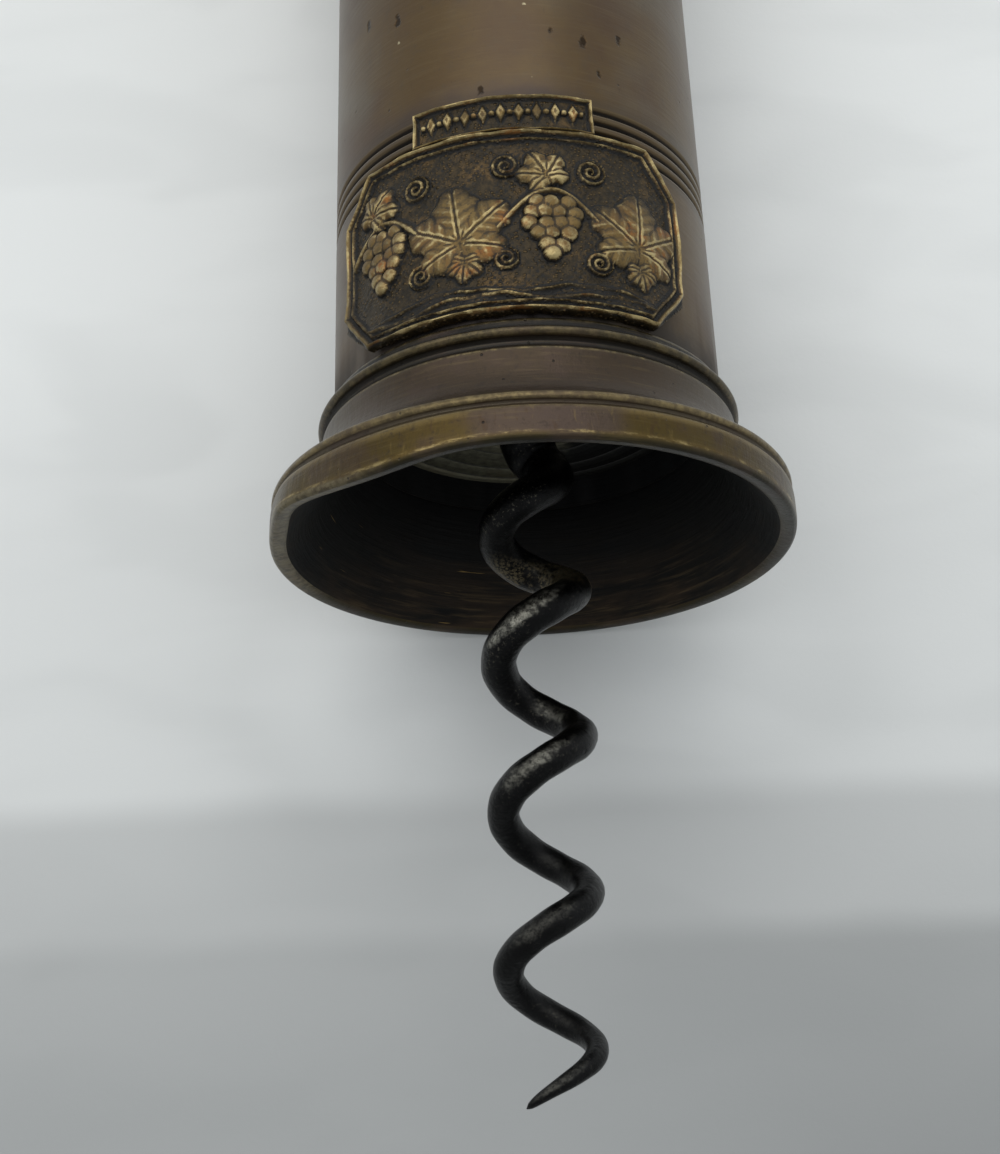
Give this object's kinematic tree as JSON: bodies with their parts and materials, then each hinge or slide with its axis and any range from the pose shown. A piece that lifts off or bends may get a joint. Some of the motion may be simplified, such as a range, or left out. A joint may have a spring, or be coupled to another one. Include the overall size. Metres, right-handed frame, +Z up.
{
  "type": "corkscrew",
  "caption": "Double-screw corkscrew: bone cross handle with brush and ring, threaded sleeve rising in a brass barrel with a bell foot, wire worm.",
  "frame": {"origin": "middle of the footprint, on the surface that the corkscrew lies on", "axes": "+Z up, +Y along the barrel from the worm's point towards the handle, the badge facing up"},
  "size_m": [0.1106, 0.1862, 0.0421],
  "materials": {
    "aged_brass": "browned by age",
    "worn_brass": "worn, dull gold on the edges",
    "tinned_brass": "dull grey",
    "black_iron": "black forged iron, rubbed bright on its crests",
    "bright_iron": "filed iron",
    "bone": "polished turned bone",
    "pitch": "black pitch",
    "hog_hair": "dark bristle"
  },
  "bodies": {
    "barrel": {"barrel_tube": "aged_brass", "bell_foot": "worn_brass", "badge_plate": "worn_brass", "barrel_cap": "worn_brass", "cap_bush": "tinned_brass", "cap_screw_left": "bright_iron", "cap_screw_right": "bright_iron"},
    "collar_washer": {"collar_washer": "worn_brass"},
    "sleeve": {"threaded_sleeve": "tinned_brass", "sleeve_collar": "worn_brass", "collar_pin": "bright_iron", "cork_disc": "tinned_brass"},
    "thrust_washer": {"thrust_washer": "worn_brass"},
    "spindle": {"inner_spindle": "bright_iron", "worm": "black_iron", "worm_pin": "bright_iron", "handle_ferrule": "worn_brass", "handle_grip": "bone", "top_rosette": "worn_brass", "top_nut": "worn_brass", "brush_plug": "pitch", "brush_bristles": "hog_hair"},
    "hanging_ring": {"hanging_ring": "bright_iron"}
  },
  "joints": [
    {"name": "sleeve_lift", "type": "slide", "parent": "barrel", "child": "collar_washer", "axis": [0, 0.9993, -0.0385], "range_m": [0, 0.045]},
    {"name": "sleeve_turn", "type": "hinge", "parent": "collar_washer", "child": "sleeve", "pos_m": [0.00812, -0.05147, 0.02109], "axis": [0, -0.9993, 0.0385], "range_deg": [0, 2700]},
    {"name": "spindle_feed", "type": "slide", "parent": "sleeve", "child": "thrust_washer", "axis": [0, 0.9993, -0.0385], "range_m": [0, 0.0476]},
    {"name": "handle_turn", "type": "hinge", "parent": "thrust_washer", "child": "spindle", "pos_m": [0.00812, -0.05147, 0.02109], "axis": [0, 0.9993, -0.0385], "range_deg": [0, 1440]},
    {"name": "ring_swing", "type": "hinge", "parent": "spindle", "child": "hanging_ring", "pos_m": [0.00812, 0.08193, 0.01596], "axis": [0.9798, -0.0077, -0.1996], "range_deg": [-82, 188]}
  ],
  "couplings": [
    {"joint": "sleeve_turn", "follows": "sleeve_lift", "rad_per_m": 1047.2},
    {"joint": "handle_turn", "follows": "spindle_feed", "rad_per_m": 528}
  ]
}
